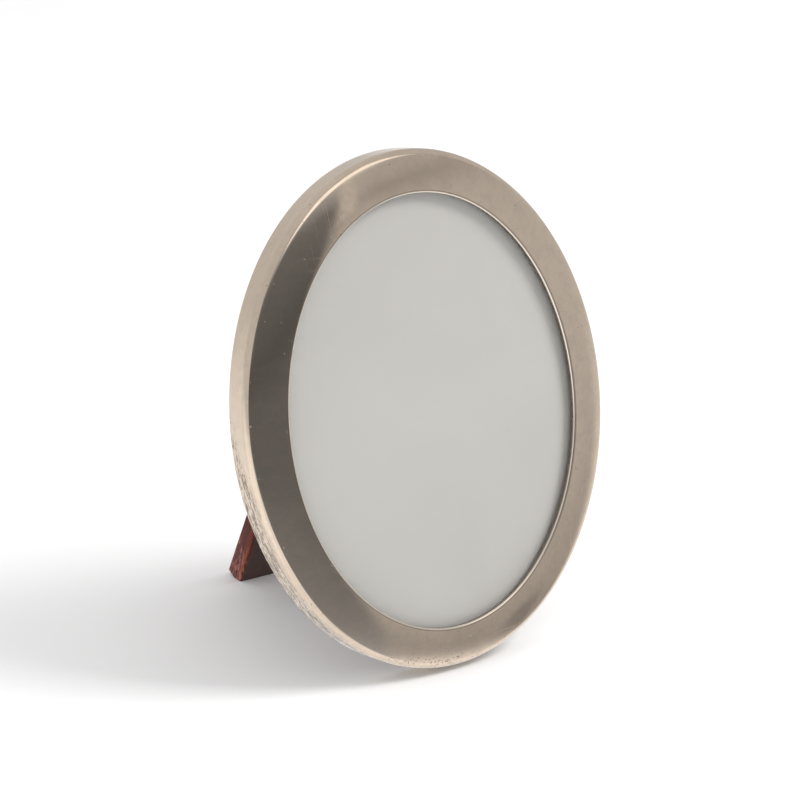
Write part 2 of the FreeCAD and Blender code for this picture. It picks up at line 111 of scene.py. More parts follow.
def out(node, name=None):
    """The first output of a node that is in use, or the one of that name."""
    return [found for found in node.outputs if found.enabled and name in (None, found.name)][0]


def calculate(tree, operation, first, second=0.0, third=0.0):
    """One sum on numbers."""
    node = tree.nodes.new("ShaderNodeMath")
    node.operation = operation
    for socket, value in zip(node.inputs, (first, second, third)):
        if isinstance(value, (bpy.types.Node, bpy.types.NodeSocket)):
            tree.links.new(out(value) if isinstance(value, bpy.types.Node) else value, socket)
        else:
            socket.default_value = value
    return node


def product(tree, first, *others):
    """All the factors multiplied."""
    for factor in others:
        first = calculate(tree, "MULTIPLY", first, factor)
    return first


def put(name, data):
    """A new object in the scene that shows the data."""
    thing = bpy.data.objects.new(name, data)
    scene.collection.objects.link(thing)
    return thing


def new_piece(name, mesh, material=None):
    """Put a mesh into the scene as a piece of the frame."""
    mesh.name = name
    piece = put(name, mesh)
    if material:
        mesh.materials.clear()
        mesh.materials.append(material)
    print("%-20s %6d faces" % (name, len(mesh.polygons)))
    return piece


def finished_mesh(thing):
    """The mesh of an object with all its modifiers applied."""
    bpy.context.view_layer.update()
    graph = bpy.context.evaluated_depsgraph_get()
    return bpy.data.meshes.new_from_object(thing.evaluated_get(graph))


def kept(work, name):
    """The mesh that was worked on, under a name of its own."""
    mesh = bpy.data.meshes.new(name)
    work.to_mesh(mesh)
    work.free()
    return mesh


def outward(mesh, sharp=math.radians(38)):
    """Turn all faces outwards and shade them smooth between sharp edges."""
    work = bmesh.new()
    work.from_mesh(mesh)
    bmesh.ops.remove_doubles(work, verts=work.verts, dist=0.002 * MM)
    bmesh.ops.recalc_face_normals(work, faces=work.faces)
    if work.calc_volume(signed=True) < 0:
        bmesh.ops.reverse_faces(work, faces=work.faces)
    work.to_mesh(mesh)
    work.free()
    mesh.shade_smooth()
    mesh.set_sharp_from_angle(angle=sharp)
    return mesh


# %% [markdown]
# Geometry Nodes trees are built here in code. Each has named inputs for its
# sizes, which the modifier sets by the sockets' identifiers before the object
# is first evaluated. What the tree makes is then kept as a plain mesh.

# %% Helpers for Geometry Nodes


def new_tree(name, **inputs):
    """A Geometry Nodes tree with named inputs and one output."""
    tree = bpy.data.node_groups.new(name, "GeometryNodeTree")
    tree.interface.new_socket("Geometry", in_out="OUTPUT", socket_type="NodeSocketGeometry")
    for label, kind in inputs.items():
        tree.interface.new_socket(label, in_out="INPUT", socket_type="NodeSocket" + kind)
    return tree, tree.nodes.new("NodeGroupInput").outputs


def close_tree(tree, last, finish):
    """Make the instances real, set the material and lead out."""
    real = add(tree, "GeometryNodeRealizeInstances", {"Geometry": last})
    painted = add(tree, "GeometryNodeSetMaterial", {"Geometry": real, "Material": finish})
    end = tree.nodes.new("NodeGroupOutput")
    tree.links.new(painted.outputs[0], end.inputs[0])


def grow(name, tree, **values):
    """Run a tree on an empty mesh and keep the result as a plain mesh."""
    seed = put(name + "_seed", bpy.data.meshes.new(name + "_seed"))
    modifier = seed.modifiers.new("Grow", "NODES")
    modifier.node_group = tree
    for item in tree.interface.items_tree:
        if item.in_out == "INPUT" and item.name in values:
            modifier[item.identifier] = values[item.name]
    mesh = finished_mesh(seed)
    bpy.data.objects.remove(seed)
    mesh.materials.clear()
    mesh.materials.append(values["Finish"])
    mesh.polygons.foreach_set("material_index", [0] * len(mesh.polygons))
    return mesh


# %% [markdown]
# The camera stands where the photographer stood: a long lens, a little above
# the frame and well round to its left. It comes first so that every step can
# be looked at from there.

# %% Camera at the photograph's viewing angle
SWING = math.radians(31.6)
CLIMB = math.radians(21.4)
CREASE_HEIGHT = 12.6 * MM
FOCAL_LENGTH = 142.3
SENSOR_WIDTH = 36
# distance and shifts in half heights of the oval, from the middle of the crease round the face
DISTANCE = 12
SHIFT_UP = 0.0433
SHIFT_LEFT = 0.1165
right = Vector((math.cos(SWING), -math.sin(SWING), 0))
up = Vector((math.sin(SWING) * math.sin(CLIMB), math.cos(SWING) * math.sin(CLIMB), math.cos(CLIMB)))
back = right.cross(up)
crease_centre = STAND @ Vector((0, 0, CREASE_HEIGHT))
lens = bpy.data.cameras.new("camera")
lens.sensor_width = SENSOR_WIDTH
lens.lens = FOCAL_LENGTH
lens.clip_start = 0.05
camera = put("camera", lens)
camera.location = crease_centre + HALF_HEIGHT * (DISTANCE * back + SHIFT_UP * up - SHIFT_LEFT * right)
camera.rotation_euler = (-back).to_track_quat("-Z", "Y").to_euler()
scene.camera = camera
print("camera %.2f m away" % (DISTANCE * HALF_HEIGHT))

# %% [markdown]
# Every finish is a small tree of shader nodes. These helpers name the usual
# steps: cloudy noise, a soft threshold, a soft band between two limits, marks
# scattered in a few cells, a blend of two colours and a relief.

# %% Helpers for finishes


def new_finish(name):
    """A material and its main shader."""
    material = bpy.data.materials.new(name)
    material.use_nodes = True
    return material, material.node_tree, material.node_tree.nodes["Principled BSDF"]


def spot(tree):
    """Where a point lies on the object."""
    return tree.nodes.new("ShaderNodeTexCoord").outputs["Object"]


def stretched(tree, vector, scale, turn=(0, 0, 0)):
    """Turn and stretch a pattern's coordinates."""
    return add(tree, "ShaderNodeMapping", {"Vector": vector, "Rotation": turn, "Scale": scale})


def noise(tree, vector, scale, detail=4.0, rough=0.5, bend=0.0):
    """Cloudy noise."""
    return add(tree, "ShaderNodeTexNoise", {"Vector": vector, "Scale": scale, "Detail": detail,
                                            "Roughness": rough, "Distortion": bend})


def between(tree, value, low, high, to_low=0.0, to_high=1.0):
    """A smooth step from one level to another."""
    return add(tree, "ShaderNodeMapRange", {"Value": value, "From Min": low, "From Max": high,
                                            "To Min": to_low, "To Max": to_high},
               interpolation_type="SMOOTHSTEP")


def band(tree, value, start, full, fading, end):
    """One between two limits and zero outside, with a soft edge at each."""
    return product(tree, between(tree, value, start, full), between(tree, value, end, fading))


def scattered(tree, place, scale, channel, rare, outer, inner):
    """Small round marks in the few cells whose random colour passes the limit."""
    cells = add(tree, "ShaderNodeTexVoronoi", {"Vector": place, "Scale": scale})
    chance = add(tree, "ShaderNodeSeparateColor", {"Color": cells.outputs["Color"]}).outputs[channel]
    return product(tree, between(tree, cells.outputs["Distance"], outer, inner),
                   calculate(tree, "GREATER_THAN", chance, rare))


def blend(tree, share, first, second):
    """A mix of two colours, each a colour or a node."""
    node = tree.nodes.new("ShaderNodeMix")
    node.data_type = "RGBA"
    for socket, value in ((node.inputs[0], share), (node.inputs[6], first), (node.inputs[7], second)):
        if isinstance(value, bpy.types.Node):
            tree.links.new(out(value), socket)
        elif isinstance(value, bpy.types.NodeSocket):
            tree.links.new(value, socket)
        elif isinstance(value, tuple):
            socket.default_value = (*value, 1.0)
        else:
            socket.default_value = value
    return node


def relief(tree, height, depth, below=None):
    """Raise or sink the surface by a height in metres."""
    inputs = {"Height": height, "Distance": depth, "Strength": 1.0}
    if below:
        inputs["Normal"] = below
    return add(tree, "ShaderNodeBump", inputs)


def connect(tree, shader, **links):
    """Lead nodes into the main shader's inputs."""
    for name, node in links.items():
        tree.links.new(out(node) if isinstance(node, bpy.types.Node) else node,
                       shader.inputs[name.replace("_", " ")])


# %% [markdown]
# The border is one pressed sheet. Its section could be drawn with a Bevel or
# turned with Spin, but the oval has two different half axes, so a plain turn
# would not do. Instead the section is swept round a circle of one metre and a
# Set Position node lays every point on the oval that its inset names. The
# section is drawn first, because the finish also needs to know where the lip
# ends and the wall of the recess before the glass begins.

# %% Section of the border


def face_height(inset):
    """Height of the domed face above the flat rear."""
    share = inset / RING_WIDTH
    return WALL_HEIGHT + FACE_RISE * share + 4 * FACE_DOME * share * (1 - share)


def face_slope(inset):
    """How steeply the face climbs towards the sight edge."""
    share = inset / RING_WIDTH
    return (FACE_RISE + 4 * FACE_DOME * (1 - 2 * share)) / RING_WIDTH


def tangent_inset(radius, centre):
    """Where a rounding with that centre inset meets the face."""
    inset = centre
    for _ in range(20):
        slope = math.atan(face_slope(inset))
        inset = centre - radius * math.sin(slope)
    return inset, slope


def arc(centre, radius, start, end, steps):
    """Points along part of a circle."""
    angles = [start + (end - start) * step / steps for step in range(steps + 1)]
    return [(centre[0] + radius * math.cos(angle), centre[1] + radius * math.sin(angle)) for angle in angles]


def border_section():
    """Inset and height along the outside of the sheet, then back along its inside."""
    meet, slope = tangent_inset(SHOULDER_RADIUS, SHOULDER_RADIUS)
    centre = (SHOULDER_RADIUS, face_height(meet) - SHOULDER_RADIUS * math.cos(slope))
    edge = 0.35 * MM
    inside_start = 4.2 * MM
    shown = [(FLANGE_WIDTH, 0.0), (FLANGE_WIDTH * 0.6, 0.0)]
    shown += arc((edge, edge), edge, -math.pi / 2, -math.pi, 6)
    wall_top = centre[1]
    shown += [(0.0, edge + (wall_top - edge) * step / 12) for step in range(1, 12)]
    shown += arc(centre, SHOULDER_RADIUS, math.pi, math.pi / 2 + slope, 22)
    leave, last_slope = tangent_inset(LIP_RADIUS, RING_WIDTH - LIP_RADIUS)
    shown += [(inset, face_height(inset)) for inset in
              [meet + (leave - meet) * step / 26 for step in range(1, 26)]]
    lip = (RING_WIDTH - LIP_RADIUS, face_height(leave) - LIP_RADIUS * math.cos(last_slope))
    shown += arc(lip, LIP_RADIUS, math.pi / 2 + last_slope, 0.0, 16)
    shown += [(RING_WIDTH, SEAT + (lip[1] - SEAT) * (1 - step / 4)) for step in range(1, 5)]
    hidden = [(RING_WIDTH - SHEET, SEAT)]
    hidden += [(inset, face_height(inset - SHEET) - SHEET) for inset in
               [RING_WIDTH - SHEET - (RING_WIDTH - SHEET - inside_start) * step / 8 for step in range(0, 9)]]
    inner = SHOULDER_RADIUS - SHEET
    hidden += arc(centre, inner, math.pi / 2 + slope, math.pi, 8)
    hidden += [(SHEET, SHEET * 1.5), (SHEET, SHEET), (FLANGE_WIDTH, SHEET)]
    return shown + hidden


section = border_section()
lip_end = [number for number, (inset, _) in enumerate(section) if inset > RING_WIDTH - 0.001 * MM][0]
RECESS_START = sum(math.dist(one, other) for one, other in zip(section[:lip_end], section[1:lip_end + 1]))
line = bpy.data.curves.new("border_section", "CURVE")
line.dimensions = "3D"
spline = line.splines.new("POLY")
spline.points.add(len(section) - 1)
for point, (inset, height) in zip(spline.points, section):
    point.co = (-inset, -height, 0, 1)
spline.use_cyclic_u = True
section_object = put("border_section", line)
print("section of %d points, recess wall %.1f mm along the sheet" % (len(section), RECESS_START / MM))

# %% [markdown]
# Old silver is not one grey. It is warm where it has tarnished, hazy from
# polishing, scratched across the face, and worn into grey-brown streaks low on
# the side wall, where hands and tables touched it. The streaks follow the rim,
# so the border carries an attribute that says how far round and how far across
# the pressed sheet a point lies. Heights are metres above the table. The lip
# also gets a painted highlight, with a painted dark reflection beside it, and
# the recess wall below is darkened, partly tarnish and partly painted shade.
# Each kind of wear or painted light is a share between nothing and one; the
# finish then goes through them and lays a colour and a dullness over the bare
# metal for each.

# %% Polished silver
WALL_START = FLANGE_WIDTH
WALL_END = FLANGE_WIDTH + 9.4 * MM


def worn_streaks(tree, place, swept, across, height):
    """Streaks on the lower side wall, which begin at its rear edge and widen downwards."""
    low = between(tree, height, 0.110, 0.090)
    front_end = between(tree, height, 0.106, 0.072, WALL_START + 4.5 * MM, WALL_START + 12.5 * MM)
    rear = band(tree, across, WALL_START - 1 * MM, WALL_START,
                calculate(tree, "SUBTRACT", front_end, 5.5 * MM), front_end)
    grain = noise(tree, stretched(tree, swept, (20, 20, 1500)), 1.0, 4, 0.65, 0.3)
    fine_grain = noise(tree, stretched(tree, swept, (60, 60, 2700)), 1.0, 3, 0.65, 0.2)
    streak = calculate(tree, "MULTIPLY_ADD", fine_grain, 0.45, calculate(tree, "MULTIPLY", grain, 0.75))
    # few streaks where they begin, more and more towards the table
    streak = calculate(tree, "ADD", streak, between(tree, height, 0.108, 0.066, -0.065, 0.012))
    streak = calculate(tree, "ADD", streak, between(tree, noise(tree, place, 60, 2), 0.35, 0.65, -0.02, 0.02))
    return product(tree, between(tree, streak, 0.56, 0.655), product(tree, low, rear))


def hairlines(tree, place):
    """Fine scratches in two directions."""
    one = noise(tree, stretched(tree, place, (30, 30, 2200), (0.5, 0.9, 0.2)), 1.0, 2, 0.5, 0.1)
    other = noise(tree, stretched(tree, place, (2600, 40, 40), (0.2, -0.6, 0.9)), 1.0, 2, 0.5, 0.1)
    return calculate(tree, "MAXIMUM", between(tree, one, 0.67, 0.75), between(tree, other, 0.68, 0.76))


def small_pits(tree, place, across, height, sideways):
    """Dark pits, most of them along the bottom crease a little left of the middle."""
    crowd = product(tree, between(tree, height, 0.022, 0.003),
                    between(tree, across, WALL_END, WALL_END + 1 * MM),
                    between(tree, across, WALL_END + 7 * MM, WALL_END + 4 * MM, 0.25),
                    between(tree, sideways, -0.040, -0.026),
                    between(tree, sideways, 0.012, -0.012, 0.12, 1.0))
    rare = calculate(tree, "SUBTRACT", 0.995, calculate(tree, "MULTIPLY", crowd, 0.55))
    return scattered(tree, place, 1300.0, 0, rare, 0.42, 0.14)


def make_silver():
    """Warm tarnished silver, worn on its side wall, scratched and pitted, with a painted highlight on its lip
    and a recess darkened partly by tarnish and partly by painted shade.
    """
    material, tree, shader = new_finish("polished_silver")
    place = spot(tree)
    swept = add(tree, "ShaderNodeAttribute", attribute_name="swept").outputs["Vector"]
    across = add(tree, "ShaderNodeSeparateXYZ", {"Vector": swept}).outputs["Z"]
    apart = add(tree, "ShaderNodeSeparateXYZ", {"Vector": place})
    sideways, height = apart.outputs["X"], apart.outputs["Z"]
    worn = worn_streaks(tree, place, swept, across, height)
    hairs = hairlines(tree, place)
    pits = small_pits(tree, place, across, height, sideways)
    # dull specks that scatter light where the mirror is dark
    specks = scattered(tree, place, 380.0, 1, 0.965, 0.22, 0.08)
    # painted highlight: the lip's colour is raised above the silver's own; beside it lies a thin painted dark
    # reflection, and the recess wall below is darkened and dulled, partly tarnish and partly painted shade
    past_lip = calculate(tree, "SUBTRACT", across, RECESS_START)
    painted_dark_reflection = band(tree, past_lip, -1.5 * MM, -1.3 * MM, -1.1 * MM, -0.95 * MM)
    lip = band(tree, past_lip, -1.1 * MM, -0.7 * MM, -0.15 * MM, 0.15 * MM)
    recess = band(tree, past_lip, -0.15 * MM, 0.4 * MM, 1.5 * MM, 1.9 * MM)
    cloud = noise(tree, place, 26, 5, 0.55, 0.4)
    mottle = noise(tree, place, 230, 4, 0.65, 0.5)
    tone = blend(tree, between(tree, cloud, 0.35, 0.68), (0.86, 0.715, 0.575), (0.78, 0.645, 0.515))
    colour = blend(tree, between(tree, mottle, 0.40, 0.68, 0.0, 0.32), tone, (0.62, 0.55, 0.47))
    # the lip's share lays a painted highlight, the thin dark line a painted dark reflection, and the recess
    # partly tarnish and partly painted shade
    for share, strength, shade in ((worn, 0.87, (0.21, 0.17, 0.14)), (painted_dark_reflection, 0.6, (0.30, 0.245, 0.20)),
                                   (lip, 1.0, (1.0, 0.90, 0.77)), (recess, 0.8, (0.17, 0.145, 0.125)),
                                   (pits, 0.9, (0.13, 0.095, 0.07))):
        colour = blend(tree, calculate(tree, "MULTIPLY", share, strength), colour, shade)
    smear = noise(tree, stretched(tree, place, (60, 60, 240), (0.3, 0.2, 0.1)), 1.0, 4, 0.6, 0.8)
    rough = between(tree, smear, 0.35, 0.75, 0.065, 0.13)
    hazy = between(tree, mottle, 0.45, 0.75)
    for share, amount in ((worn, 0.30), (hairs, 0.06), (recess, 0.20), (specks, 0.30), (hazy, 0.07)):
        rough = calculate(tree, "MULTIPLY_ADD", share, amount, rough)
    shader.inputs["Metallic"].default_value = 1.0
    dents = relief(tree, noise(tree, place, 55, 2, 0.4), 0.06 * MM)
    scored = relief(tree, hairs, -0.004 * MM, dents)
    eaten = relief(tree, calculate(tree, "MULTIPLY_ADD", pits, 2.0, worn), -0.03 * MM, scored)
    connect(tree, shader, Base_Color=colour, Roughness=rough, Normal=eaten)
    return material


silver = make_silver()
print("silver has", len(silver.node_tree.nodes), "nodes")

# %% [markdown]
# Now the tree that does the sweeping. Besides the surface it stores how far
# round and how far across the sheet every point lies, which the finish reads.

# %% Sweep the section round the oval


def oval_sweep_tree():
    """Sweep a section round a circle of one metre, then lay every point on its oval."""
    tree, given = new_tree("sweep_round_the_oval", Section="Object", Half_height="Float", Half_width="Float",
                           Steps="Int", Finish="Material")
    ring = add(tree, "GeometryNodeCurvePrimitiveCircle", {"Resolution": given["Steps"], "Radius": 1.0})
    drawn = add(tree, "GeometryNodeObjectInfo", {"Object": given["Section"]})
    along = add(tree, "GeometryNodeSplineParameter")
    marked = add(tree, "GeometryNodeStoreNamedAttribute",
                 {"Geometry": drawn.outputs["Geometry"], "Name": "across", "Value": along.outputs["Length"]})
    swept = add(tree, "GeometryNodeCurveToMesh", {"Curve": ring, "Profile Curve": marked})
    place = add(tree, "ShaderNodeSeparateXYZ", {"Vector": add(tree, "GeometryNodeInputPosition")})
    radius = calculate(tree, "SQRT", calculate(tree, "MULTIPLY_ADD", place.outputs["X"], place.outputs["X"],
                       calculate(tree, "MULTIPLY", place.outputs["Y"], place.outputs["Y"])))
    inset = calculate(tree, "SUBTRACT", 1.0, radius)
    cosine = calculate(tree, "DIVIDE", place.outputs["X"], radius)
    sine = calculate(tree, "DIVIDE", place.outputs["Y"], radius)
    wide = calculate(tree, "MULTIPLY", cosine, calculate(tree, "SUBTRACT", given["Half_width"], inset))
    tall = calculate(tree, "MULTIPLY", sine, calculate(tree, "SUBTRACT", given["Half_height"], inset))
    across = add(tree, "GeometryNodeInputNamedAttribute", {"Name": "across"}, data_type="FLOAT")
    sheet = add(tree, "ShaderNodeCombineXYZ", {"X": cosine, "Y": sine, "Z": out(across)})
    noted = add(tree, "GeometryNodeStoreNamedAttribute", {"Geometry": swept, "Name": "swept", "Value": sheet},
                data_type="FLOAT_VECTOR")
    laid = add(tree, "GeometryNodeSetPosition", {
        "Geometry": noted,
        "Position": add(tree, "ShaderNodeCombineXYZ", {"X": wide, "Y": tall, "Z": place.outputs["Z"]})})
    close_tree(tree, laid, given["Finish"])
    return tree


border_mesh = grow("silver_border", oval_sweep_tree(), Section=section_object, Half_height=HALF_HEIGHT,
                   Half_width=HALF_WIDTH, Steps=360, Finish=silver)
bpy.data.objects.remove(section_object)
border_mesh.transform(STAND)
silver_border = new_piece("silver_border", outward(border_mesh, math.radians(50)))
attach(silver_border, "frame")
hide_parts("silver_mount")

# %% [markdown]
# The wood of the strut and of the back is an old polished mahogany: dark red
# brown, with orange streaks where the polish is thin and pale pinkish scuffs on
# the edges, most of them at the foot. The grain runs along each piece, so the
# pattern is turned to it. One function makes the wood of the core as well.

# %% Mahogany


def make_mahogany(name, grain_turn, scuffs, dark, red, orange):
    """Polished wood whose grain is turned along its board, with as many scuffs as are asked for."""
    material, tree, shader = new_finish(name)
    place = spot(tree)
    turned = stretched(tree, place, (1, 1, 1), grain_turn)
    rings = noise(tree, stretched(tree, turned, (260, 14, 260)), 1.0, 4, 0.55, 0.9)
    pores = noise(tree, stretched(tree, turned, (1500, 90, 1500)), 1.0, 3, 0.6, 0.2)
    patches = noise(tree, turned, 75, 4, 0.6, 1.2)
    glow = noise(tree, stretched(tree, turned, (150, 11, 150)), 1.0, 3, 0.5, 0.5)
    colour = blend(tree, between(tree, rings, 0.34, 0.66), dark, red)
    colour = blend(tree, between(tree, glow, 0.56, 0.72, 0.0, 0.75), colour, orange)
    colour = blend(tree, between(tree, pores, 0.60, 0.72), colour, (0.030, 0.010, 0.008))
    rubbed = noise(tree, stretched(tree, turned, (950, 240, 950)), 1.0, 4, 0.65, 0.5)
    facing = tree.nodes.new("ShaderNodeTexCoord").outputs["Normal"]
    facing = add(tree, "ShaderNodeSeparateXYZ", {"Vector": facing})
    edge = between(tree, calculate(tree, "ABSOLUTE", facing.outputs["X"]), 0.25, 0.75, 0.18, 1.0)
    height = add(tree, "ShaderNodeSeparateXYZ", {"Vector": place}).outputs["Z"]
    likely = calculate(tree, "ADD", rubbed, between(tree, height, 0.020, 0.004, 0.0, 0.14))
    scuffed = product(tree, between(tree, likely, 0.59, 0.72), edge,
                      between(tree, height, 0.055, 0.012, 0.8 * scuffs, 1.15 * scuffs))
    colour = blend(tree, scuffed, colour, (0.36, 0.155, 0.125))
    # painted shade: faces turned to the front, towards the picture, are darkened nearly to black
    hidden = between(tree, facing.outputs["Y"], -0.55, -0.85, 0.0, 0.9)
    colour = blend(tree, hidden, colour, (0.062, 0.041, 0.036))
    rough = between(tree, patches, 0.3, 0.7, 0.26, 0.42)
    rough = calculate(tree, "MULTIPLY_ADD", scuffed, 0.28, rough)
    lines = relief(tree, pores, -0.05 * MM)
    worn = relief(tree, rubbed, 0.12 * MM, lines)
    shader.inputs["Specular IOR Level"].default_value = 0.06
    connect(tree, shader, Base_Color=colour, Roughness=rough, Normal=worn)
    return material


strut_wood = make_mahogany("strut_mahogany", (math.pi / 2 - RAKE, 0, 0), 0.85,
                           (0.070, 0.012, 0.008), (0.155, 0.022, 0.013), (0.27, 0.066, 0.020))
back_wood = make_mahogany("back_mahogany", (math.pi / 2 + LEAN, 0, 0), 0.25,
                          (0.075, 0.016, 0.011), (0.155, 0.034, 0.021), (0.24, 0.066, 0.027))
core_wood = make_mahogany("core_wood", (math.pi / 2 + LEAN, 0, 0.4), 0.1,
                          (0.10, 0.036, 0.020), (0.17, 0.065, 0.033), (0.23, 0.10, 0.05))
print("three woods:", strut_wood.name, back_wood.name, core_wood.name)

# %% [markdown]
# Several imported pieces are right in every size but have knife-sharp edges. A
# real edge is broken, and it catches light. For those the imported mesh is
# copied, merged and given small rounded edges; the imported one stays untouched.

# %% Copies with broken edges


def softened(node, name, width, steps, material, body, sharp=32, foot=0.0):
    """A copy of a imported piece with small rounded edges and, where asked, a rounder foot."""
    work = bmesh.new()
    work.from_mesh(frame["nodes"][node].data)
    bmesh.ops.remove_doubles(work, verts=work.verts, dist=0.004 * MM)
    bmesh.ops.dissolve_limit(work, angle_limit=math.radians(0.3), verts=work.verts, edges=work.edges)
    if foot:
        across_foot = [edge for edge in work.edges if max(corner.co.z for corner in edge.verts) < 8 * MM
                       and edge.calc_length() > 20 * MM and edge.calc_face_angle(0.0) > math.radians(20)]
        print("rounding", len(across_foot), "edges of the foot")
        bmesh.ops.bevel(work, geom=across_foot, offset=foot, segments=6, profile=0.5, affect="EDGES")
    edges = [edge for edge in work.edges if len(edge.link_faces) == 2
             and edge.calc_face_angle() > math.radians(sharp)]
    bmesh.ops.bevel(work, geom=edges, offset=width, segments=steps, profile=0.5, affect="EDGES",
                    clamp_overlap=True)
    piece = new_piece(name, outward(kept(work, name)), material)
    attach(piece, body)
    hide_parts(node)


# %% Wooden strut and back
softened("strut", "strut_board", 0.7 * MM, 3, strut_wood, "strut", foot=1.3 * MM)
softened("back_panel", "wooden_back", 0.3 * MM, 2, back_wood, "frame")

# %% [markdown]
# The hinge and the turn buttons are brass that has gone brown in its corners.
# The colour drifts between polished and tarnished with a slow noise, and fine
# rubbing marks change the gloss.

# %% Aged brass


def make_brass():
    """Brass with slow stains, dark flecks and rubbing marks."""
    material, tree, shader = new_finish("aged_brass")
    place = spot(tree)
    cloud = noise(tree, place, 240, 4, 0.6, 0.6)
    fleck = noise(tree, place, 1400, 3, 0.6)
    colour = blend(tree, between(tree, cloud, 0.36, 0.66), (0.66, 0.46, 0.19), (0.34, 0.215, 0.095))
    colour = blend(tree, between(tree, fleck, 0.60, 0.74, 0.0, 0.8), colour, (0.12, 0.075, 0.04))
    rub = noise(tree, stretched(tree, place, (300, 2600, 300), (0.4, 0.3, 0.7)), 1.0, 3)
    rough = between(tree, cloud, 0.3, 0.7, 0.24, 0.46)
    rough = calculate(tree, "MULTIPLY_ADD", rub, 0.12, rough)
    shader.inputs["Metallic"].default_value = 1.0
    connect(tree, shader, Base_Color=colour, Roughness=rough, Normal=relief(tree, rub, 0.01 * MM))
    return material


brass = make_brass()
for node, body in (("hinge_leaf_back", "frame"), ("hinge_leaf_strut", "strut")):
    softened(node, node.replace("hinge_leaf", "hinge_plate"), 0.12 * MM, 2, brass, body)
softened("hinge_pin", "hinge_wire", 0.15 * MM, 2, brass, "frame")
for number in (1, 2, 3, 4):
    softened("turn_button_%d" % number, "button_%d" % number, 0.28 * MM, 3, brass,
             "turn_button_%d" % number)

# %% [markdown]
# Screws and pins are repeated, so one of each is made first. The real ones are
# turned on a lathe, and so are these: an outline of radius and height pairs is
# turned about its axis, and a Boolean cuts the slot.

# %% One screw of each kind


def turned_shape(name, outline, steps=40):
    """A closed round shape turned about z from radius and height pairs."""
    work = bmesh.new()
    loops = []
    for radius, height in outline:
        if radius == 0:
            loops.append([work.verts.new((0, 0, height))])
        else:
            loops.append([work.verts.new((radius * math.cos(2 * math.pi * step / steps),
                                          radius * math.sin(2 * math.pi * step / steps), height))
                          for step in range(steps)])
    for low, high in zip(loops, loops[1:]):
        for step in range(steps):
            corners = [low[step % len(low)], low[(step + 1) % steps % len(low)],
                       high[(step + 1) % steps % len(high)], high[step % len(high)]]
            work.faces.new(list(dict.fromkeys(corners)))
    return put(name, outward(kept(work, name)))


def cut_slot(shape, width, depth, top, reach):
    """Cut a straight screwdriver slot across the top of a head."""
    work = bmesh.new()
    bmesh.ops.create_cube(work, size=1)
    bmesh.ops.scale(work, vec=(2 * reach, width, 2 * depth), verts=work.verts)
    bmesh.ops.translate(work, vec=(0, 0, top), verts=work.verts)
    cutter = put("slot", kept(work, "slot"))
    cut = shape.modifiers.new("Slot", "BOOLEAN")
    cut.operation = "DIFFERENCE"
    cut.object = cutter
    cut.solver = "EXACT"
    mesh = finished_mesh(shape)
    shape.modifiers.remove(cut)
    shape.data = outward(mesh)
    bpy.data.objects.remove(cutter)
    return shape


def dome(radius, crown, steps):
    """Outline of a domed head from its top to its rim, resting at height zero."""
    ball = (radius * radius + crown * crown) / (2 * crown)
    spread = math.asin(radius / ball)
    return [(ball * math.sin(spread * step / steps), crown - ball * (1 - math.cos(spread * step / steps)))
            for step in range(steps + 1)]


# pairs of radius and height, from the top of the head down to the point
BUTTON_SCREW = dome(2.3 * MM, 1.3 * MM, 12) + [(1.1 * MM, 0), (1.1 * MM, -8.2 * MM), (0, -9 * MM)]
LEAF_SCREW = [(0, 0), (1.2 * MM, 0), (1.64 * MM, -0.01 * MM), (1.7 * MM, -0.06 * MM), (0.8 * MM, -1 * MM),
              (0.8 * MM, -4.2 * MM), (0, -5 * MM)]
PIN = dome(0.95 * MM, 0.45 * MM, 8) + [(0.45 * MM, 0), (0.45 * MM, -5 * MM), (0, -6 * MM)]
button_screw = cut_slot(turned_shape("button_screw", BUTTON_SCREW), 0.5 * MM, 0.55 * MM, 1.3 * MM, 3 * MM)
leaf_screw = cut_slot(turned_shape("leaf_screw", LEAF_SCREW), 0.5 * MM, 0.4 * MM, 0, 3 * MM)
rim_pin = turned_shape("rim_pin", PIN, 24)
print("turned three fasteners")

# %% [markdown]
# Geometry Nodes trees set the copies out. Each holds the rule of its row: pins
# at equal steps round the rim, button screws in two pairs, hinge screws in a
# line. A seeded random turn leaves the slots pointing anywhere. The sixteen
# copies could be placed by hand, but a tree keeps its rule when a size changes.

# %% Set the fasteners out
BUTTON_INSET = 5.6 * MM
BUTTON_SPREAD = math.radians(30)
# the button and the play before and behind it, under the domed head
BUTTON_ROOM = 1.8 * MM
# hinge screws lie halfway between the knuckles' edge and the leaf's far edge
LEAF_PITCH = 12 * MM
KNUCKLE_EDGE = 1.5 * MM
LEAF_REACH = 10 * MM


def fastener_tree(name, places, **extra):
    """A tree that puts copies of one piece at places worked out from the copy's number."""
    tree, given = new_tree(name, Piece="Object", Count="Int", Depth="Float", Seed="Int", Finish="Material",
                           **extra)
    line = add(tree, "GeometryNodeMeshLine", {"Count": given["Count"]})
    number = add(tree, "GeometryNodeInputIndex")
    x, y = places(tree, given, number)
    spots = add(tree, "GeometryNodeSetPosition", {
        "Geometry": line,
        "Position": add(tree, "ShaderNodeCombineXYZ", {"X": x, "Y": y, "Z": given["Depth"]})})
    turn = add(tree, "FunctionNodeRandomValue", {"Min": 0.0, "Max": math.pi, "Seed": given["Seed"]})
    piece = add(tree, "GeometryNodeObjectInfo", {"Object": given["Piece"]})
    copies = add(tree, "GeometryNodeInstanceOnPoints", {
        "Points": spots, "Instance": piece.outputs["Geometry"],
        "Rotation": add(tree, "ShaderNodeCombineXYZ", {"X": math.pi, "Z": out(turn)})})
    close_tree(tree, copies, given["Finish"])
    return tree


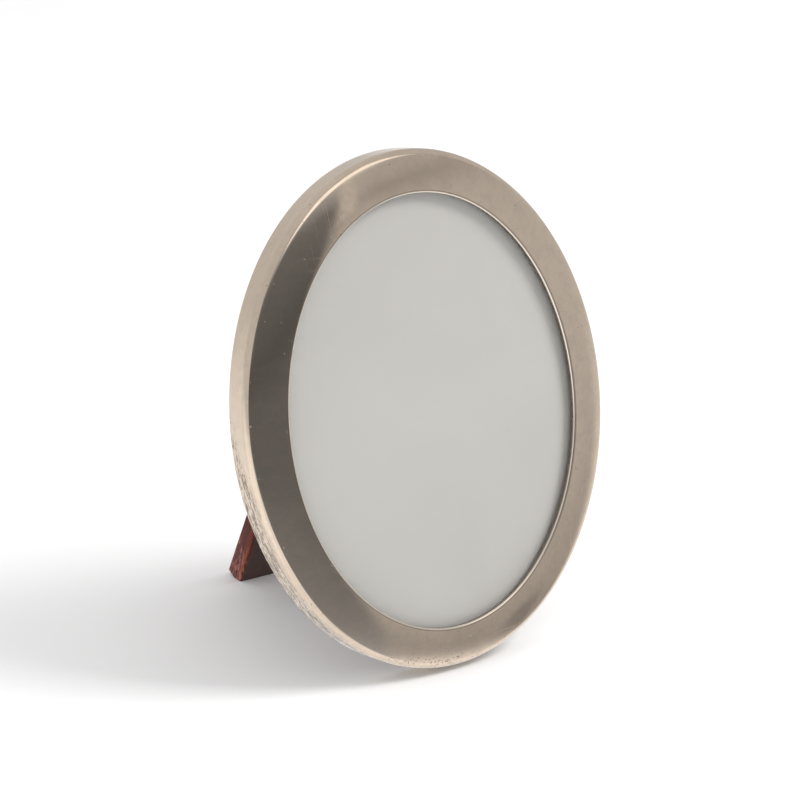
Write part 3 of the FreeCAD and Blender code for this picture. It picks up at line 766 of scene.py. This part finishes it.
def on_the_oval(tree, given, angle):
    """The point at an angle on the oval that lies at the given inset."""
    x = calculate(tree, "MULTIPLY", calculate(tree, "SUBTRACT", given["Half_width"], given["Inset"]),
                  calculate(tree, "COSINE", angle))
    y = calculate(tree, "MULTIPLY", calculate(tree, "SUBTRACT", given["Half_height"], given["Inset"]),
                  calculate(tree, "SINE", angle))
    return x, y


def even_steps(tree, given, number):
    """Equal steps round the oval."""
    step = calculate(tree, "DIVIDE", 2 * math.pi, given["Count"])
    return on_the_oval(tree, given, calculate(tree, "MULTIPLY", number, step))


def two_pairs(tree, given, number):
    """One pair right of the middle, one left, each spread up and down."""
    side = calculate(tree, "CEIL", calculate(tree, "MULTIPLY", number, 0.5))
    sign = calculate(tree, "MULTIPLY_ADD", calculate(tree, "MODULO", number, 2.0), -2.0, 1.0)
    spread = calculate(tree, "MULTIPLY", sign, given["Spread"])
    return on_the_oval(tree, given, calculate(tree, "MULTIPLY_ADD", side, math.pi, spread))


def straight_row(tree, given, number):
    """Equal steps along a line, about its middle."""
    middle = calculate(tree, "MULTIPLY", calculate(tree, "SUBTRACT", given["Count"], 1.0), 0.5)
    x = calculate(tree, "MULTIPLY", calculate(tree, "SUBTRACT", number, middle), given["Pitch"])
    return x, given["Height"]


OVAL_INPUTS = {"Half_height": "Float", "Half_width": "Float", "Inset": "Float"}
pin_tree = fastener_tree("pins_round_the_rim", even_steps, **OVAL_INPUTS)
pair_tree = fastener_tree("screws_in_two_pairs", two_pairs, Spread="Float", **OVAL_INPUTS)
row_tree = fastener_tree("screws_in_a_row", straight_row, Pitch="Float", Height="Float")
OVAL = {"Half_height": HALF_HEIGHT, "Half_width": HALF_WIDTH}


def place_fasteners(name, mesh, matrix, node, body):
    mesh.transform(matrix)
    piece = new_piece(name, outward(mesh))
    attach(piece, body)
    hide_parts(node)


def make_pin_silver():
    """Duller silver than the border's, with brown stains."""
    material, tree, shader = new_finish("pin_silver")
    cloud = noise(tree, spot(tree), 700, 4, 0.6)
    shader.inputs["Metallic"].default_value = 1.0
    colour = blend(tree, between(tree, cloud, 0.4, 0.65), (0.62, 0.53, 0.43), (0.25, 0.19, 0.14))
    connect(tree, shader, Base_Color=colour, Roughness=between(tree, cloud, 0.3, 0.7, 0.25, 0.5),
            Normal=relief(tree, cloud, 0.01 * MM))
    return material


pins = grow("rim_pins", pin_tree, Piece=rim_pin, Count=6, Depth=0.0, Seed=3, Finish=make_pin_silver(),
            Inset=FLANGE_WIDTH / 2, **OVAL)
place_fasteners("rim_pins", pins, STAND, "mount_pins", "frame")
screws = grow("button_screws", pair_tree, Piece=button_screw, Count=4, Depth=-BUTTON_ROOM, Seed=11,
              Finish=brass, Inset=BUTTON_INSET, Spread=BUTTON_SPREAD, **OVAL)
place_fasteners("button_screws", screws, STAND, "turn_button_screws", "frame")
AT_HINGE = STAND @ Matrix.Translation((0, HINGE_HEIGHT, -HALF_LEAF_GAP))
OTHER_LEAF = AT_HINGE @ Matrix.Rotation(math.pi, 4, "Y")
for side, matrix, body, seed in (("back", AT_HINGE, "frame", 5), ("strut", OTHER_LEAF, "strut", 8)):
    row = grow("leaf_screws_" + side, row_tree, Piece=leaf_screw, Count=3, Depth=HALF_LEAF_GAP, Seed=seed,
               Finish=brass, Pitch=LEAF_PITCH, Height=(KNUCKLE_EDGE + LEAF_REACH) / 2)
    place_fasteners("leaf_screws_" + side, row, matrix, "hinge_screws_" + side, body)
for shape in (button_screw, leaf_screw, rim_pin):
    bpy.data.objects.remove(shape)

# %% [markdown]
# The glass is two millimetres thick and flat, so it hardly bends what lies
# behind it. One mirror shader will do: its alpha follows Fresnel, so the pane
# is clear from straight ahead, mirrors the room at a slant, and shows the card
# at its true place.

# %% Glass, card and board
GLASS_IOR = 1.5


def make_glass():
    """A clear pane with faint smudges in its gloss."""
    material, tree, shader = new_finish("clear_glass")
    smudge = noise(tree, spot(tree), 35, 3, 0.5, 0.5)
    shader.inputs["Metallic"].default_value = 1.0
    shader.inputs["Base Color"].default_value = (0.95, 0.97, 0.96, 1)
    shader.inputs["Alpha"].default_value = 0.08
    # rays pass this pane unbent, so the index is turned round inside it; otherwise its far
    # side would mirror everything at a slant
    inside = tree.nodes.new("ShaderNodeNewGeometry").outputs["Backfacing"]
    bending = calculate(tree, "MULTIPLY_ADD", inside, 1 / GLASS_IOR - GLASS_IOR, GLASS_IOR)
    share = add(tree, "ShaderNodeFresnel", {"IOR": bending})
    connect(tree, shader, Alpha=share, Roughness=between(tree, smudge, 0.35, 0.7, 0.02, 0.09))
    return material


def make_card(name, light, dark, fleck):
    """Plain card with a slow drift of tone and short fibres."""
    material, tree, shader = new_finish(name)
    place = spot(tree)
    cloud = noise(tree, place, 14, 3, 0.5, 0.3)
    fibre = noise(tree, stretched(tree, place, (900, 900, 2400)), 1.0, 4, 0.7, 0.5)
    colour = blend(tree, between(tree, cloud, 0.3, 0.7), light, dark)
    colour = blend(tree, between(tree, fibre, 0.55, 0.75, 0.0, 0.35), colour, fleck)
    shader.inputs["Specular IOR Level"].default_value = 0.25
    connect(tree, shader, Base_Color=colour, Roughness=between(tree, fibre, 0.3, 0.7, 0.75, 0.9),
            Normal=relief(tree, fibre, 0.02 * MM))
    return material


FINISHES = {
    "frame_core": core_wood,
    "backing_board": make_card("backing_card", (0.34, 0.25, 0.16), (0.27, 0.19, 0.12), (0.19, 0.13, 0.08)),
}
for node, finish in FINISHES.items():
    for slot in frame["nodes"][node].material_slots:
        slot.material = finish
print("finished", len(FINISHES), "packed nodes")

# %% [markdown]
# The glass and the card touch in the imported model. Two faces in one place
# flicker in a render, so each gets a fine mesh of its own that stays a hair
# clear of its neighbour, with the edge of the glass ground and the card's cut
# square.

# %% Glass and card as fine meshes


def oval_plate(name, inset, low, high, edge, material, node, steps=240):
    """A flat oval with small bevels round both faces."""
    work = bmesh.new()
    loops = []
    for distance, height in ((edge, low), (0, low + edge), (0, high - edge), (edge, high)):
        wide = HALF_WIDTH - inset - distance
        tall = HALF_HEIGHT - inset - distance
        loops.append([work.verts.new((wide * math.cos(2 * math.pi * step / steps),
                                      tall * math.sin(2 * math.pi * step / steps), height))
                      for step in range(steps)])
    for below, above in zip(loops, loops[1:]):
        for step in range(steps):
            following = (step + 1) % steps
            work.faces.new((below[step], below[following], above[following], above[step]))
    work.faces.new(loops[0][::-1])
    work.faces.new(loops[-1])
    mesh = kept(work, name)
    mesh.transform(STAND)
    piece = new_piece(name, outward(mesh), material)
    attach(piece, "frame")
    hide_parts(node)


HAIR = 0.03 * MM
GLASS_THICK = 2 * MM
CARD_THICK = 0.6 * MM
PANE_INSET = 12 * MM
GLASS_BACK = SEAT - GLASS_THICK
pale_card = make_card("pale_card", (0.472, 0.458, 0.429), (0.445, 0.430, 0.407), (0.409, 0.390, 0.361))
oval_plate("glass", PANE_INSET, GLASS_BACK + HAIR, SEAT - HAIR, 0.25 * MM, make_glass(), "glass_pane")
oval_plate("card", PANE_INSET, GLASS_BACK - CARD_THICK + HAIR, GLASS_BACK - HAIR, 0.05 * MM, pale_card,
           "picture_card")

# %% [markdown]
# A silver border is a mirror, so what stands round it matters as much as its
# own colour. In the photograph it mirrors a dark room in front of the frame and
# a bright table and wall to its sides. The world paints that room as soft zones
# by direction. Only mirrored rays see them; all other light comes from a plain
# bright room.

# %% The room that the silver mirrors
# brightness by degrees above the horizon: to the left and behind, to the right,
# far to the right, and in the dark room in front
LEFT_LEVELS = ((-90, 0.90), (-60, 0.97), (-42, 0.93), (-26, 1.00), (-14, 0.90), (4, 0.62), (36, 0.60),
               (90, 0.60))
RIGHT_LEVELS = ((-90, 0.90), (-44, 0.98), (-39, 0.86), (-34.5, 0.45), (-30, 0.37), (-21, 0.42), (-8, 0.50),
                (12, 0.53), (22, 0.48), (30, 0.38), (36, 0.47), (90, 0.56))
EDGE_LEVELS = ((-90, 0.85), (-45, 0.95), (-25, 0.92), (-12, 0.72), (0, 0.56), (30, 0.53), (90, 0.60))
DARK_LEVELS = ((-50, 0.60), (-38, 0.40), (-26, 0.27), (-17, 0.22), (-10, 0.19), (-3, 0.147), (6, 0.142),
               (13, 0.096), (20, 0.13), (33, 0.17), (42, 0.45))
DARK_TINT = (1.0, 1.04, 1.11)
PLAIN_LIGHT = (0.97, 0.97, 0.97)


def levels(tree, value, stops, tint=(1, 1, 1)):
    """A ramp of levels over degrees, grey or with a tint."""
    scaled = add(tree, "ShaderNodeMapRange", {"Value": value, "From Min": -90.0, "From Max": 90.0})
    ramp = add(tree, "ShaderNodeValToRGB", {"Fac": scaled})
    elements = ramp.color_ramp.elements
    for number, (degrees, level) in enumerate(stops):
        stop = elements[number] if number < 2 else elements.new(1.0)
        stop.position = (degrees + 90) / 180
        stop.color = (*(level * share for share in tint), 1)
    return ramp


def make_room():
    """Paint the world by direction: turn is degrees to the right of straight ahead, rise degrees upwards."""
    world = bpy.data.worlds.new("studio")
    scene.world = world
    world.use_nodes = True
    tree = world.node_tree
    looking = tree.nodes.new("ShaderNodeTexCoord").outputs["Generated"]
    way = add(tree, "ShaderNodeSeparateXYZ", {"Vector": looking})
    turn = calculate(tree, "ARCTAN2", way.outputs["X"], calculate(tree, "MULTIPLY", way.outputs["Y"], -1.0))
    turn = calculate(tree, "MULTIPLY", turn, 180 / math.pi)
    rise = calculate(tree, "MULTIPLY", calculate(tree, "ARCSINE", way.outputs["Z"]), 180 / math.pi)
    to_right = band(tree, turn, -4, 14, 125, 150)
    seen = blend(tree, to_right, levels(tree, rise, LEFT_LEVELS), levels(tree, rise, RIGHT_LEVELS))
    # a bright wall near by on the left
    near_left = product(tree, band(tree, turn, -125, -105, -60, -45), between(tree, rise, 5, -12),
                        between(tree, rise, -46, -33, 0.35, 1.0))
    seen = blend(tree, near_left, seen, (1.12, 1.12, 1.13))
    far_right = band(tree, turn, 66, 73, 125, 150)
    seen = blend(tree, far_right, seen, levels(tree, rise, EDGE_LEVELS))
    # the dark room in front, wider above than below
    left_edge = calculate(tree, "SUBTRACT", turn, between(tree, rise, -22, 0, -16, -50))
    dark = product(tree, between(tree, turn, 17, 10.5), between(tree, left_edge, -5, 5),
                   between(tree, rise, -48, -34))
    seen = blend(tree, dark, seen, levels(tree, rise, DARK_LEVELS, DARK_TINT))
    # a dim patch low on the right and a narrow bright strip above the dark room's edge
    dim = product(tree, band(tree, turn, 45, 51, 56, 60), band(tree, rise, -35, -32, -28, -24))
    seen = blend(tree, dim, seen, (0.27, 0.265, 0.275))
    strip = product(tree, band(tree, turn, 13, 15.5, 18.5, 21.5), between(tree, rise, 24, 27.5))
    seen = blend(tree, strip, seen, (0.56, 0.55, 0.54))
    # one large soft window high in front
    window = product(tree, band(tree, turn, -38, -26, 40, 62), band(tree, rise, 41, 47, 68, 80))
    seen = blend(tree, window, seen, (1.25, 1.22, 1.18))
    mirrored = tree.nodes.new("ShaderNodeLightPath").outputs["Is Glossy Ray"]
    connect(tree, tree.nodes["Background"], Color=blend(tree, mirrored, PLAIN_LIGHT, seen))
    print("room painted with", len(tree.nodes), "nodes")


make_room()

# %% [markdown]
# Soft light falls on the real frame from high up at the front right, as the
# shadow on its card shows. One large lamp stands there, over a wide pale floor.
# Neither of them is mirrored, since the room above says what the silver sees.

# %% Floor and soft light


def soft_light(name, place, target, size, power):
    """A rectangular lamp that looks at a target."""
    lamp = bpy.data.lights.new(name, "AREA")
    lamp.shape = "RECTANGLE"
    lamp.size, lamp.size_y = size
    lamp.energy = power
    light = put(name, lamp)
    light.visible_glossy = False
    light.location = place
    light.rotation_euler = (Vector(target) - Vector(place)).to_track_quat("-Z", "Y").to_euler()
    print("lamp %.2f m from its target" % (Vector(target) - Vector(place)).length)


def make_floor():
    """A wide pale floor with a hardly visible grain."""
    material, tree, shader = new_finish("pale_floor")
    grain = noise(tree, spot(tree), 6, 3)
    connect(tree, shader, Base_Color=blend(tree, grain, (0.86, 0.86, 0.86), (0.89, 0.89, 0.89)))
    shader.inputs["Roughness"].default_value = 0.8
    work = bmesh.new()
    bmesh.ops.create_grid(work, x_segments=8, y_segments=8, size=4.0)
    mesh = kept(work, "floor")
    mesh.materials.append(material)
    floor = put("floor", mesh)
    floor.visible_glossy = False


make_floor()
soft_light("key", (0.85, -0.75, 1.25), (0, 0, 0.08), (0.6, 0.6), 17)
scene.view_settings.view_transform = "Standard"
